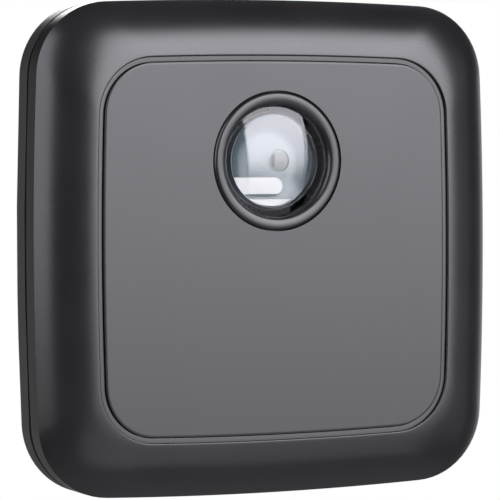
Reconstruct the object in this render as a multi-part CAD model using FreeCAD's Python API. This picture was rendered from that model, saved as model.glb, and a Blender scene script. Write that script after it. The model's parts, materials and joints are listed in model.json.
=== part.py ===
import FreeCAD, Part
import math
import os

# A battery light sensor in a square moulded case that hangs on a slide-on wall bracket.
# Each piece is drawn lying on its back: X to the right, Y up the face, Z out from the wall.
# The last turn stands the pieces up: +Z up, the face towards -Y, the wall at Y = 0.

# Outline of the case, seen from the front. The sides are very slightly bowed.
body_half = 40.0
corner_radius = 12.0
side_bow_radius = 650.0
face_half = 31.0
face_corner_radius = 9.3

# Section of the front moulding, from the flat face out to the side wall
crown_drop = 4.7
crown_bulge = 1.0
crown_steps = 5
band_height = 3.6
seam_width = 0.8
seam_depth = 1.0
case_wall = 2.0
crown_wall = 1.2
front_wall = 1.7
tongue_thickness = 1.0
tongue_reach = 1.5
tongue_clearance = 0.1
tongue_root = 1.2

# Recessed channel round the face, and the panel set into it
channel_depth = 0.55
channel_slope = 0.15
land_width = 0.73
panel_gap = 0.22
panel_thickness = 1.6
panel_edge_bevel = 0.12
adhesive_thickness = 0.3
adhesive_width = 2.0
adhesive_inset = 0.6

# Lens, its ring and the pale well under it
lens_from_face_top = 17.0
lens_radius = 8.9
lens_clearance = 0.1
lens_sink = 0.75
lens_rise = 1.45
lens_thickness = 1.6
lens_wall = 1.4
lens_flange_width = 1.5
lens_flange_thickness = 0.8
lens_gasket_thickness = 0.4
lens_gasket_margin = 0.2
lens_seat_clearance = 0.2
ring_width = 2.15
ring_crest = 0.3
ring_crest_radius = 2.6
ring_crest_shift = 1.3
ring_outer_round = 0.6
ring_inner_round = 0.9
ring_groove = 0.15
well_flange = 1.65
well_floor = 0.3
well_floor_radius = 4.2
well_hole_radius = 1.7
photodiode_size = 2.0
photodiode_height = 0.7
photodiode_shift = 2.2

# Stack from the wall outwards
wall_gap = 0.4
bracket_thickness = 3.2
bracket_gap = 0.3
floor_thickness = 1.6
door_thickness = 1.6
door_gasket_thickness = 0.5
ledge_thickness = 1.2
cell_gap = 0.3
cell_thickness = 3.2
cell_cap_inset = 1.4
cell_cap_height = 0.4
contact_thickness = 0.3
board_thickness = 0.8
front_space = 1.5
rear_wall = 1.8
rear_edge_bevel = 1.8

# Wall bracket: a frame with flanged sides, held by two screws
bracket_half_width = 26.0
bracket_half_height = 25.0
bracket_corner = 3.0
flange_width = 2.3
flange_thickness = 1.4
flange_clearance = 0.3
window_half_width = 21.0
window_corner = 1.0
window_clearance = 0.5
wall_screw_radius = 2.2
wall_screw_sink_radius = 3.6
lip_length = 8.0
lip_offset = 14.0
lift_travel = 9.0
notch_clearance = 0.5
recess_side_clearance = 1.0
recess_top_clearance = 0.2
recess_foot_clearance = 0.5
recess_wall = 1.5

# Battery bay and its door
cell_radius = 10.0
cell_clearance = 0.5
door_middle = -4.5
bay_half_width = 18.2
bay_corner = 2.0
ledge_width = 1.8
door_clearance = 0.2
door_corner = 3.0
door_gasket_width = 1.0
door_gasket_margin = 0.4
door_gasket_clearance = 0.05
door_pad_radius = 5.0
door_pad_clearance = 0.05
pocket_wall = 1.4
guide_thickness = 1.0
guide_end_clearance = 0.5
clip_thickness = 0.2
clip_half_angle = 34.0
clip_foot = 1.8
clip_foot_width = 3.6
base_contact_radius = 6.0
base_contact_bore = 2.6
base_contact_slots = 3
base_contact_slot_width = 1.0
base_contact_turn = 60.0

# Screws: radii of shank and head, and what each bore leaves round the shank
thread_clearance = 0.05
case_screw_shank = 1.2
case_screw_head = 2.2
case_screw_head_height = 1.6
case_screw_length = 8.0
case_screw_recess = 2.6
case_screw_inset = 8.5
case_boss_radius = 2.8
head_clearance = 0.3
board_screw_shank = 0.95
board_screw_head = 1.9
board_screw_head_height = 1.2
board_screw_length = 3.4
board_screw_inset = 4.0
board_boss_radius = 2.4
door_screw_shank = 1.0
door_screw_head = 1.9
door_screw_head_height = 0.9
door_screw_length = 4.4
door_screw_inset = 1.8
door_boss_radius = 2.2
cross_slot_width = 0.5
cross_slot_depth = 0.6
cross_slot_share = 0.6

# Circuit board and what is soldered to it
board_gap = 0.7
board_end_gap = 5.9
board_corner = 3.0
controller_size = 5.0
controller_height = 0.9
radio_size = 4.0
radio_height = 0.85
crystal_length = 3.2
crystal_width = 2.5
crystal_height = 0.7
crystal_gap = 1.6
capacitor_length = 1.6
capacitor_width = 0.8
capacitor_pitch = 2.4
capacitors_per_row = 4
capacitor_gap = 1.7
antenna_length = 38.0
antenna_thickness = 0.4
antenna_height = 1.2
antenna_strip = 0.7
antenna_leg = 1.2
antenna_leg_pitch = 5.0
led_length = 1.6
led_width = 0.8
led_height = 0.6
led_gap = 3.4

# Controls that the open battery door gives access to
trimmer_size = 6.0
trimmer_height = 2.0
trimmer_spacing = 10.2
trimmer_gap = 3.0
dial_radius = 2.4
dial_clearance = 0.1
dial_sink = 0.7
dial_height = 1.65
dial_slot_width = 0.6
dial_slot_depth = 0.7
dial_slot_length = 3.4
dial_notch_length = 1.0
switch_size = 4.4
switch_height = 1.9
switch_gap = 1.3
button_radius = 1.2
button_clearance = 0.06
button_height = 1.2
button_sink = 0.4
button_travel = 0.3
button_bevel = 0.2

# Levels above the wall that follow from the stack
recess_floor = bracket_thickness + bracket_gap
floor_top = recess_floor + floor_thickness
door_top = recess_floor + door_thickness
ledge_low = door_top + door_gasket_thickness
ledge_top = ledge_low + ledge_thickness
cell_low = door_top + cell_gap
cell_top = cell_low + cell_thickness
board_back = cell_top + contact_thickness
board_front = board_back + board_thickness
front_inner = board_front + front_space
pocket_floor = front_inner + front_wall
panel_back = pocket_floor + adhesive_thickness
face_level = panel_back + panel_thickness
land_level = face_level - channel_depth
crease_level = face_level - crown_drop
seam_top = crease_level - band_height
seam_low = seam_top - seam_width
boss_face = seam_low + seam_width / 2
lens_edge = face_level - lens_sink
lens_seat = pocket_floor - front_wall / 2 + lens_clearance / 2
lens_flange_top = lens_seat - lens_gasket_thickness
lens_back = lens_flange_top - lens_flange_thickness

# Places on the face that follow from the sizes
crown_width = body_half - face_half
tongue_bore = case_wall + tongue_clearance + tongue_thickness
pocket_half = face_half - channel_slope - land_width
panel_half = pocket_half - panel_gap
case_screw_place = body_half - case_screw_inset
board_half_width = case_screw_place - case_boss_radius - board_gap
board_half_height = body_half - tongue_bore - board_end_gap
board_screw_x = board_half_width - board_screw_inset
board_screw_y = board_half_height - board_screw_inset
lens_height = face_half - lens_from_face_top
ring_bore = lens_radius + lens_clearance
ring_outer = ring_bore + ring_width
lens_flange_radius = lens_radius + lens_flange_width
lens_seat_radius = lens_flange_radius + lens_seat_clearance
body_edge = bracket_half_width - flange_width
recess_half_width = bracket_half_width + recess_side_clearance
recess_top = bracket_half_height + recess_top_clearance
recess_foot = -bracket_half_height - lift_travel - recess_foot_clearance
bay_half_height = cell_radius + cell_clearance + thread_clearance * 2
pocket_half_width = bay_half_width + ledge_width
pocket_half_height = bay_half_height + ledge_width
door_half_width = pocket_half_width - door_clearance
door_half_height = pocket_half_height - door_clearance
window_half_height = door_half_height - door_middle + window_clearance
wall_screw_place = (bracket_half_height + window_half_height) / 2
cell_x = cell_radius + cell_clearance - bay_half_width
trimmer_x = cell_x + cell_radius + trimmer_gap + trimmer_size / 2
switch_x = trimmer_x + trimmer_size / 2 + switch_gap + switch_size / 2
door_screw_x = bay_half_width - door_screw_inset
door_screw_y = bay_half_height - door_screw_inset


def both(value):
    return (-value, value)


def four_corners(x, y):
    return [(side_x, side_y) for side_x in both(x) for side_y in both(y)]


def opposite_corners(x, y):
    """Two opposite corners, where a pair of screws is enough."""
    return [(-x, y), (x, -y)]


def rod(x, y, radius, low, high):
    return Part.makeCylinder(radius, high - low, FreeCAD.Vector(x, y, low))


def block(x, y, width, height, low, high):
    corner = FreeCAD.Vector(x - width / 2, y - height / 2, low)
    return Part.makeBox(width, height, high - low, corner)


def fillet_upright_edges(shape, radius):
    nearly_upright = 0.99
    upright = [edge for edge in shape.Edges if abs(edge.tangentAt(edge.FirstParameter).z) > nearly_upright]
    return shape.makeFillet(radius, upright)


def rounded_block(x, y, width, height, radius, low, high):
    return fillet_upright_edges(block(x, y, width, height, low, high), radius)


def outline(half, radius, level):
    """Closed wire of four slightly bowed sides, joined by tangent corner arcs."""
    bow_centre = half - side_bow_radius
    reach = side_bow_radius - radius
    corner = (bow_centre + math.sqrt(2 * reach ** 2 - bow_centre ** 2)) / 2
    stretch = side_bow_radius / reach
    join_x = corner * stretch
    join_y = bow_centre + (corner - bow_centre) * stretch
    tip = corner + radius / math.sqrt(2)
    side = Part.Arc(
        FreeCAD.Vector(-join_x, join_y, level),
        FreeCAD.Vector(0, half, level),
        FreeCAD.Vector(join_x, join_y, level),
    )
    turn = Part.Arc(
        FreeCAD.Vector(join_x, join_y, level),
        FreeCAD.Vector(tip, tip, level),
        FreeCAD.Vector(join_y, join_x, level),
    )
    edges = []
    for quarter in range(4):
        for curve in (side, turn):
            edge = curve.toShape()
            edge.rotate(FreeCAD.Vector(0, 0, 0), FreeCAD.Vector(0, 0, 1), -90 * quarter)
            edges.append(edge)
    return Part.Wire(edges)


def slab(half, radius, low, high):
    face = Part.Face(outline(half, radius, low))
    return face.extrude(FreeCAD.Vector(0, 0, high - low))


def inset_slab(inset, low, high):
    """Slab whose edge lies a given distance inside the side wall of the case."""
    return slab(body_half - inset, corner_radius - inset, low, high)


def face_slab(half, low, high):
    """Slab whose edge runs parallel to the outline of the flat face."""
    return slab(half, face_corner_radius - face_half + half, low, high)


def crown_section(turned):
    """Step out and drop of the crown where its arc has turned by a share of its whole."""
    chord = math.hypot(crown_width, crown_drop)
    half_turn = 2 * math.atan(2 * crown_bulge / chord)
    arc_radius = chord / 2 / math.sin(half_turn)
    first_slope = math.atan2(crown_drop, crown_width) - half_turn
    slope = first_slope + 2 * half_turn * turned
    out = arc_radius * (math.sin(slope) - math.sin(first_slope))
    drop = arc_radius * (math.cos(first_slope) - math.cos(slope))
    return out, drop


def crowned_body(inset, back_off, low, steps):
    """Case body under the crown, with its sides moved in and its front moved back.

    Two steps make plain sloped bands, for the hidden inside; more make one smooth crown.
    """
    wires = []
    for step in range(steps + 1):
        out, drop = crown_section(step / steps)
        radius = face_corner_radius + (corner_radius - face_corner_radius) * out / crown_width
        wires.append(outline(face_half + out - inset, radius - inset, face_level - drop - back_off))
    crown = Part.makeLoft(wires[::-1], True, steps <= 2, False, 2)
    return crown.fuse(inset_slab(inset, low, crease_level - back_off)).removeSplitter()


def revolve(points_and_arcs):
    """Turn a closed section, given as edges in the XZ plane, about the Z axis."""
    face = Part.Face(Part.Wire(points_and_arcs))
    return face.revolve(FreeCAD.Vector(0, 0, 0), FreeCAD.Vector(0, 0, 1), 360)


def line(start, end):
    return Part.LineSegment(section_point(start), section_point(end)).toShape()


def arc(start, middle, end):
    return Part.Arc(section_point(start), section_point(middle), section_point(end)).toShape()


def section_point(place):
    return FreeCAD.Vector(place[0], 0, place[1])


def polyline(places):
    return [line(start, end) for start, end in zip(places, places[1:])]


def to_lens(shape):
    shape.translate(FreeCAD.Vector(0, lens_height, 0))
    return shape


def screw_slot(x, y, reach, low):
    """Cross-shaped driver recess that opens downwards from a screw head."""
    level = low + cross_slot_depth
    across = block(x, y, reach * 2, cross_slot_width, low, level)
    upright = block(x, y, cross_slot_width, reach * 2, low, level)
    return across.fuse(upright)


def front_cover():
    """Crowned front moulding with its channel, pocket, lens seat, tongue and bosses."""
    cover = crowned_body(0, 0, seam_top, crown_steps)
    cavity = crowned_body(case_wall, crown_wall, seam_top, 2)
    above = block(0, 0, body_half * 2, body_half * 2, front_inner, face_level)
    cover = cover.cut(cavity.cut(above))
    slope_foot = face_half - channel_slope
    foot_radius = face_corner_radius - channel_slope
    channel = Part.makeLoft(
        [outline(slope_foot, foot_radius, land_level), outline(face_half, face_corner_radius, face_level)],
        True,
        True,
    )
    cover = cover.cut(channel)
    cover = cover.cut(face_slab(pocket_half, pocket_floor, land_level))
    rib = inset_slab(case_wall, seam_top, seam_top + tongue_root)
    tongue = inset_slab(case_wall + tongue_clearance, seam_low - tongue_reach, seam_top)
    hollow = inset_slab(tongue_bore, seam_low - tongue_reach, seam_top + tongue_root)
    cover = cover.fuse(rib.fuse(tongue).cut(hollow))
    for x, y in four_corners(case_screw_place, case_screw_place):
        boss_top = front_inner + front_wall / 2
        cover = cover.fuse(rod(x, y, case_boss_radius, boss_face, boss_top))
        bore = case_screw_shank + thread_clearance
        tip = wall_gap + case_screw_recess + case_screw_length
        cover = cover.cut(rod(x, y, bore, boss_face, tip + head_clearance))
    for x, y in opposite_corners(board_screw_x, board_screw_y):
        cover = cover.fuse(rod(x, y, board_boss_radius, board_front, front_inner))
        bore = board_screw_shank + thread_clearance
        cover = cover.cut(rod(x, y, bore, board_front, board_back + board_screw_length + thread_clearance))
    cover = cover.cut(to_lens(rod(0, 0, ring_bore + lens_clearance, front_inner, pocket_floor)))
    cover = cover.cut(to_lens(rod(0, 0, lens_seat_radius, front_inner, lens_seat)))
    return cover.removeSplitter()


def front_panel():
    """Satin inlay plate, set into the pocket of the front moulding."""
    panel = face_slab(panel_half, panel_back, face_level)
    rim = [edge for edge in panel.Edges if edge.BoundBox.ZMin > face_level - panel_edge_bevel]
    panel = panel.makeChamfer(panel_edge_bevel, rim)
    return panel.cut(to_lens(rod(0, 0, ring_outer + ring_groove, panel_back, face_level)))


def panel_adhesive():
    """Die-cut adhesive frame that bonds the panel to the pocket floor."""
    outer = panel_half - adhesive_inset
    frame = face_slab(outer, pocket_floor, panel_back)
    return frame.cut(face_slab(outer - adhesive_width, pocket_floor, panel_back))


def side_round(wall, side, radius):
    """Three points of the round that leads from a side of the lens ring to its crest arc.

    Side is -1 at the bore and 1 outside.
    """
    reach = ring_crest_radius - radius
    across = wall - side * radius - ring_bore - ring_crest_shift
    tilt = math.asin(across / reach)
    level = face_level + ring_crest - ring_crest_radius + reach * math.cos(tilt)
    upright = side * math.pi / 2
    points = []
    for turn in (upright, (upright + tilt) / 2, tilt):
        points.append((wall - side * radius + radius * math.sin(turn), level + radius * math.cos(turn)))
    return points


def lens_ring():
    """Ring that frames the lens, with a broad low crest and rounded sides."""
    inside = side_round(ring_bore, -1, ring_inner_round)
    outside = side_round(ring_outer, 1, ring_outer_round)
    section = polyline([inside[0], (ring_bore, pocket_floor), (ring_outer, pocket_floor), outside[0]])
    section.append(arc(*outside))
    section.append(arc(outside[2], (ring_bore + ring_crest_shift, face_level + ring_crest), inside[2]))
    section.append(arc(*inside[::-1]))
    return to_lens(revolve(section))


def lens():
    """Clear domed cover, hollow behind, with a flange that clamps it from behind."""
    crest = lens_edge + lens_rise
    dome_radius = (lens_radius ** 2 + lens_rise ** 2) / (2 * lens_rise)
    dome_middle = crest - dome_radius
    hollow_radius = dome_radius - lens_thickness
    bore = lens_radius - lens_wall

    def on_dome(out, radius):
        return out, dome_middle + math.sqrt(radius ** 2 - out ** 2)

    section = polyline([
        on_dome(bore, hollow_radius),
        (bore, lens_back),
        (lens_flange_radius, lens_back),
        (lens_flange_radius, lens_flange_top),
        (lens_radius, lens_flange_top),
        (lens_radius, lens_edge),
    ])
    section.append(arc((lens_radius, lens_edge), on_dome(lens_radius / 2, dome_radius), (0, crest)))
    section.append(line((0, crest), on_dome(0, hollow_radius)))
    section.append(arc(*[on_dome(out, hollow_radius) for out in (0, bore / 2, bore)]))
    return to_lens(revolve(section))


def lens_gasket():
    """Flat rubber ring between the lens flange and its seat."""
    outer = rod(0, 0, lens_flange_radius, lens_flange_top, lens_seat)
    bore = lens_radius + lens_gasket_margin
    return to_lens(outer.cut(rod(0, 0, bore, lens_flange_top, lens_seat)))


def light_well():
    """Pale cup that scatters light onto the sensor and props the lens from behind."""
    rim = lens_radius - lens_wall
    floor = board_front + well_floor
    section = polyline([
        (0, board_front),
        (rim + well_flange, board_front),
        (rim + well_flange, lens_back),
        (rim, lens_back),
        (well_floor_radius, floor),
        (0, floor),
        (0, board_front),
    ])
    hole = rod(photodiode_shift, 0, well_hole_radius, board_front, floor)
    return to_lens(revolve(section).cut(hole))


def photodiode():
    top = board_front + photodiode_height
    return to_lens(block(photodiode_shift, 0, photodiode_size, photodiode_size, board_front, top))


def case_seal():
    """Rubber cord gasket that shows as the dark seam round the side."""
    seal = inset_slab(seam_depth, seam_low, seam_top)
    return seal.cut(inset_slab(case_wall, seam_low, seam_top))


def battery_bay(cover):
    """Pocket, ledge, cell guides and screw bosses of the battery bay."""
    x, y = 0, door_middle
    shell_width = (pocket_half_width + pocket_wall) * 2
    shell_height = (pocket_half_height + pocket_wall) * 2
    corner = door_corner + pocket_wall
    cover = cover.fuse(rounded_block(x, y, shell_width, shell_height, corner, floor_top, ledge_top))
    guide_top = board_back - guide_end_clearance
    guide_bore = cell_radius + cell_clearance / 2
    guide = rod(cell_x, y, guide_bore + guide_thickness, ledge_low, guide_top)
    cover = cover.fuse(guide)
    bay = rounded_block(x, y, bay_half_width * 2, bay_half_height * 2, bay_corner, recess_floor, guide_top)
    cover = cover.cut(bay)
    for side in (-1, 1):
        place = (x + side * door_screw_x, y + side * door_screw_y)
        cover = cover.fuse(rod(*place, door_boss_radius, ledge_low, guide_top))
    cover = cover.cut(rod(cell_x, y, guide_bore, recess_floor, guide_top))
    cover = cover.cut(rounded_block(
        x, y, pocket_half_width * 2, pocket_half_height * 2, door_corner, recess_floor, ledge_low
    ))
    for side in (-1, 1):
        place = (x + side * door_screw_x, y + side * door_screw_y)
        bore = door_screw_shank + thread_clearance * 2
        cover = cover.cut(rod(*place, bore, ledge_low, guide_top))
    return cover


def rear_cover():
    """Rear moulding with the bracket recess, its four lips and the battery bay."""
    cover = inset_slab(0, wall_gap, seam_low)
    rear_edge = [edge for edge in cover.Edges if edge.BoundBox.ZMax < wall_gap + rear_edge_bevel]
    cover = cover.makeChamfer(rear_edge_bevel, rear_edge)
    cavity = inset_slab(case_wall, wall_gap + rear_wall, seam_low)
    recess_middle = (recess_top + recess_foot) / 2
    recess_height = recess_top - recess_foot
    step_width = (recess_half_width + recess_wall) * 2
    step_height = recess_height + recess_wall * 2
    step = block(0, recess_middle, step_width, step_height, wall_gap, floor_top)
    inside_tongue = inset_slab(tongue_bore + tongue_clearance, wall_gap, floor_top)
    cavity = cavity.cut(step.common(inside_tongue))
    cover = cover.cut(cavity)
    recess = rounded_block(
        0, recess_middle, recess_half_width * 2, recess_height, bracket_corner, wall_gap, recess_floor
    )
    cover = cover.cut(recess)
    lip_top = bracket_thickness - flange_thickness - flange_clearance
    lip_reach = recess_half_width - body_edge - flange_clearance
    for x, y in four_corners(recess_half_width - lip_reach / 2, lip_offset):
        cover = cover.fuse(block(x, y, lip_reach, lip_length, wall_gap, lip_top))
    cover = battery_bay(cover)
    seat = wall_gap + case_screw_recess
    for x, y in four_corners(case_screw_place, case_screw_place):
        cover = cover.fuse(rod(x, y, case_boss_radius, wall_gap, boss_face))
        cover = cover.cut(rod(x, y, case_screw_shank + thread_clearance * 2, wall_gap, boss_face))
        cover = cover.cut(rod(x, y, case_screw_head + head_clearance, wall_gap, seat))
    return cover.removeSplitter()


def case_screws():
    """Four screws that close the case from behind."""
    screws = []
    seat = wall_gap + case_screw_recess
    for x, y in four_corners(case_screw_place, case_screw_place):
        low = seat - case_screw_head_height
        head = rod(x, y, case_screw_head, low, seat)
        screw = head.fuse(rod(x, y, case_screw_shank, seat, seat + case_screw_length))
        screws.append(screw.cut(screw_slot(x, y, case_screw_head * cross_slot_share, low)))
    return Part.makeCompound(screws)


def board_screws():
    """Two screws that hold the circuit board to the front moulding."""
    screws = []
    for x, y in opposite_corners(board_screw_x, board_screw_y):
        low = board_back - board_screw_head_height
        head = rod(x, y, board_screw_head, low, board_back)
        shank = rod(x, y, board_screw_shank, board_back, board_back + board_screw_length)
        screws.append(head.fuse(shank))
    return Part.makeCompound(screws)


def circuit_board():
    board = rounded_block(
        0, 0, board_half_width * 2, board_half_height * 2, board_corner, board_back, board_front
    )
    for x, y in opposite_corners(board_screw_x, board_screw_y):
        board = board.cut(rod(x, y, board_screw_shank + thread_clearance * 2, board_back, board_front))
    return board


def on_front(x, y, width, height, thickness):
    return block(x, y, width, height, board_front, board_front + thickness)


def microcontroller():
    return on_front(cell_x, door_middle, controller_size, controller_size, controller_height)


def radio_chip():
    return on_front(trimmer_x, door_middle, radio_size, radio_size, radio_height)


def crystal():
    x = trimmer_x + radio_size / 2 + crystal_gap + crystal_length / 2
    return on_front(x, door_middle, crystal_length, crystal_width, crystal_height)


def chip_capacitors():
    """Two rows of chip capacitors, one below each of the two larger chips."""
    chips = []
    for middle in (cell_x, trimmer_x):
        first = middle - capacitor_pitch * (capacitors_per_row - 1) / 2
        for place in range(capacitors_per_row):
            x = first + capacitor_pitch * place
            y = door_middle - controller_size / 2 - capacitor_gap - capacitor_length / 2
            chips.append(on_front(x, y, capacitor_width, capacitor_length, capacitor_width))
    return Part.makeCompound(chips)


def antenna():
    """Stamped strip antenna that stands along the top edge of the board."""
    y = board_half_height - antenna_leg
    top = board_front + antenna_height
    strip = block(0, y, antenna_length, antenna_thickness, top - antenna_strip, top)
    for place in range(2):
        x = -antenna_length / 2 + antenna_leg / 2 + antenna_leg_pitch * place
        strip = strip.fuse(block(x, y, antenna_leg, antenna_thickness, board_front, top))
    return strip.removeSplitter()


def coin_cell():
    """Lithium cell, with its narrower negative cap towards the board."""
    can_top = cell_top - cell_cap_height
    can = rod(cell_x, door_middle, cell_radius, cell_low, can_top)
    cap = rod(cell_x, door_middle, cell_radius - cell_cap_inset, can_top, cell_top)
    return can.fuse(cap)


def cell_base_contact():
    """Slotted spring disc under the cell, soldered to the back of the board."""
    disc = rod(cell_x, door_middle, base_contact_radius, cell_top, board_back)
    disc = disc.cut(rod(cell_x, door_middle, base_contact_bore, cell_top, board_back))
    middle = FreeCAD.Vector(cell_x, door_middle, 0)
    for slot in range(base_contact_slots):
        x = cell_x + base_contact_radius
        cut = block(x, door_middle, base_contact_radius, base_contact_slot_width, cell_top, board_back)
        turn = base_contact_turn + 360 / base_contact_slots * slot
        cut.rotate(middle, FreeCAD.Vector(0, 0, 1), turn)
        disc = disc.cut(cut)
    return disc


def cell_side_clip():
    """Curved spring strip that grips the edge of the cell, with a solder foot."""
    middle = FreeCAD.Vector(cell_x, door_middle, ledge_top)
    bore = cell_radius + thread_clearance
    outer = bore + clip_thickness
    height = board_back - ledge_top
    wedge = Part.makeCylinder(outer, height, middle, FreeCAD.Vector(0, 0, 1), clip_half_angle * 2)
    wedge.rotate(middle, FreeCAD.Vector(0, 0, 1), -clip_half_angle)
    strip = wedge.cut(rod(cell_x, door_middle, bore, ledge_top, board_back))
    foot_low = board_back - clip_thickness
    foot_x = cell_x + outer - clip_thickness / 2 + clip_foot / 2
    foot = block(foot_x, door_middle, clip_foot, clip_foot_width, foot_low, board_back)
    foot = foot.cut(rod(cell_x, door_middle, bore, foot_low, board_back))
    return strip.fuse(foot).removeSplitter()


def trimmer_places():
    return [(trimmer_x, door_middle + side) for side in both(trimmer_spacing / 2)]


def trimmer_bodies():
    """Bodies of the two setting potentiometers on the back of the board."""
    bodies = []
    low = board_back - trimmer_height
    for x, y in trimmer_places():
        body = block(x, y, trimmer_size, trimmer_size, low, board_back)
        sink = low + dial_sink + dial_clearance
        bodies.append(body.cut(rod(x, y, dial_radius + dial_clearance, low, sink)))
    return Part.makeCompound(bodies)


def dial(place):
    """Slotted rotor of a setting potentiometer, with a pointer notch in its rim."""
    x, y = place
    top = board_back - trimmer_height + dial_sink
    low = top - dial_height
    rotor = rod(x, y, dial_radius, low, top)
    slot_end = low + dial_slot_depth
    rotor = rotor.cut(block(x, y, dial_slot_length, dial_slot_width, low, slot_end))
    notch_y = y + dial_radius - dial_notch_length / 2
    notch = block(x, notch_y, dial_slot_width, dial_notch_length, low, slot_end)
    return rotor.cut(notch)


def learn_switch_body():
    low = board_back - switch_height
    body = block(switch_x, door_middle, switch_size, switch_size, low, board_back)
    bore = button_radius + button_clearance
    depth = low + button_sink + button_travel + button_clearance
    return body.cut(rod(switch_x, door_middle, bore, low, depth))


def learn_button():
    top = board_back - switch_height + button_sink
    button = rod(switch_x, door_middle, button_radius, top - button_height, top)
    tip = [edge for edge in button.Edges if edge.BoundBox.ZMax < top - button_height / 2]
    return button.makeChamfer(button_bevel, tip)


def status_led():
    y = door_middle - switch_size / 2 - led_gap - led_width / 2
    return block(switch_x, y, led_length, led_width, board_back - led_height, board_back)


def battery_door():
    """Door plate, flush with the recess floor, with a ring that steadies the cell."""
    width = door_half_width * 2
    height = door_half_height * 2
    corner = door_corner - door_clearance
    door = rounded_block(0, door_middle, width, height, corner, recess_floor, door_top)
    pad_top = cell_low - door_pad_clearance
    door = door.fuse(rod(cell_x, door_middle, door_pad_radius, door_top, pad_top))
    for side in (-1, 1):
        x = side * door_screw_x
        y = door_middle + side * door_screw_y
        sink = recess_floor + door_screw_head_height
        door = door.cut(rod(x, y, door_screw_shank + thread_clearance, recess_floor, door_top))
        door = door.cut(rod(x, y, door_screw_head + thread_clearance, recess_floor, sink))
    return door.removeSplitter()


def door_gasket():
    x, y = 0, door_middle
    outer_width = (door_half_width - door_gasket_margin) * 2
    outer_height = (door_half_height - door_gasket_margin) * 2
    corner = door_corner - door_clearance - door_gasket_margin
    top = ledge_low - door_gasket_clearance
    ring = rounded_block(x, y, outer_width, outer_height, corner, door_top, top)
    inner_width = outer_width - door_gasket_width * 2
    inner_height = outer_height - door_gasket_width * 2
    inner_corner = corner - door_gasket_width
    return ring.cut(rounded_block(x, y, inner_width, inner_height, inner_corner, door_top, top))


def door_screws():
    """Two sunk screws that hold the battery door."""
    screws = []
    seat = recess_floor + door_screw_head_height
    for side in (-1, 1):
        x = side * door_screw_x
        y = door_middle + side * door_screw_y
        head = rod(x, y, door_screw_head, recess_floor, seat)
        screw = head.fuse(rod(x, y, door_screw_shank, seat, recess_floor + door_screw_length))
        screws.append(screw.cut(screw_slot(x, y, door_screw_head * cross_slot_share, recess_floor)))
    return Part.makeCompound(screws)


def wall_bracket():
    """Frame on the wall; its side flanges hook over the four lips of the case."""
    height = bracket_half_height * 2
    body = rounded_block(0, 0, body_edge * 2, height, bracket_corner, 0, bracket_thickness)
    flange_low = bracket_thickness - flange_thickness
    flange = rounded_block(
        0, 0, bracket_half_width * 2, height, bracket_corner, flange_low, bracket_thickness
    )
    bracket = body.fuse(flange)
    bracket = bracket.cut(rounded_block(
        0, 0, window_half_width * 2, window_half_height * 2, window_corner, 0, bracket_thickness
    ))
    for place in both(lip_offset):
        low = place + lift_travel - lip_length / 2 - notch_clearance
        high = min(place + lift_travel + lip_length / 2 + notch_clearance, bracket_half_height)
        for x in both(bracket_half_width - flange_width / 2):
            notch = block(x, (low + high) / 2, flange_width, high - low, 0, bracket_thickness)
            bracket = bracket.cut(notch)
    sink_depth = wall_screw_sink_radius - wall_screw_radius
    for y in both(wall_screw_place):
        bracket = bracket.cut(rod(0, y, wall_screw_radius, 0, bracket_thickness))
        place = FreeCAD.Vector(0, y, bracket_thickness - sink_depth)
        sink = Part.makeCone(wall_screw_radius, wall_screw_sink_radius, sink_depth, place)
        bracket = bracket.cut(sink)
    return bracket.removeSplitter()


timer_place, lux_place = trimmer_places()
pieces = {
    "wall_bracket": wall_bracket(),
    "rear_cover": rear_cover(),
    "front_cover": front_cover(),
    "front_panel": front_panel(),
    "panel_adhesive": panel_adhesive(),
    "lens_ring": lens_ring(),
    "lens": lens(),
    "lens_gasket": lens_gasket(),
    "light_well": light_well(),
    "photodiode": photodiode(),
    "case_seal": case_seal(),
    "case_screws": case_screws(),
    "circuit_board": circuit_board(),
    "board_screws": board_screws(),
    "microcontroller": microcontroller(),
    "radio_chip": radio_chip(),
    "crystal": crystal(),
    "chip_capacitors": chip_capacitors(),
    "antenna": antenna(),
    "status_led": status_led(),
    "coin_cell": coin_cell(),
    "cell_base_contact": cell_base_contact(),
    "cell_side_clip": cell_side_clip(),
    "trimmer_bodies": trimmer_bodies(),
    "lux_dial": dial(lux_place),
    "timer_dial": dial(timer_place),
    "learn_switch_body": learn_switch_body(),
    "learn_button": learn_button(),
    "battery_door": battery_door(),
    "door_gasket": door_gasket(),
    "door_screws": door_screws(),
}

os.makedirs("parts", exist_ok=True)
for name, shape in pieces.items():
    shape.rotate(FreeCAD.Vector(0, 0, 0), FreeCAD.Vector(1, 0, 0), 90)
    print(name, "solids", len(shape.Solids), "valid", shape.isValid(), "volume", round(shape.Volume, 2))
    shape.exportStep("parts/" + name + ".step")
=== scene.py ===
import json
import math

import bmesh
import bpy
from mathutils import Matrix, Vector

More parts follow.
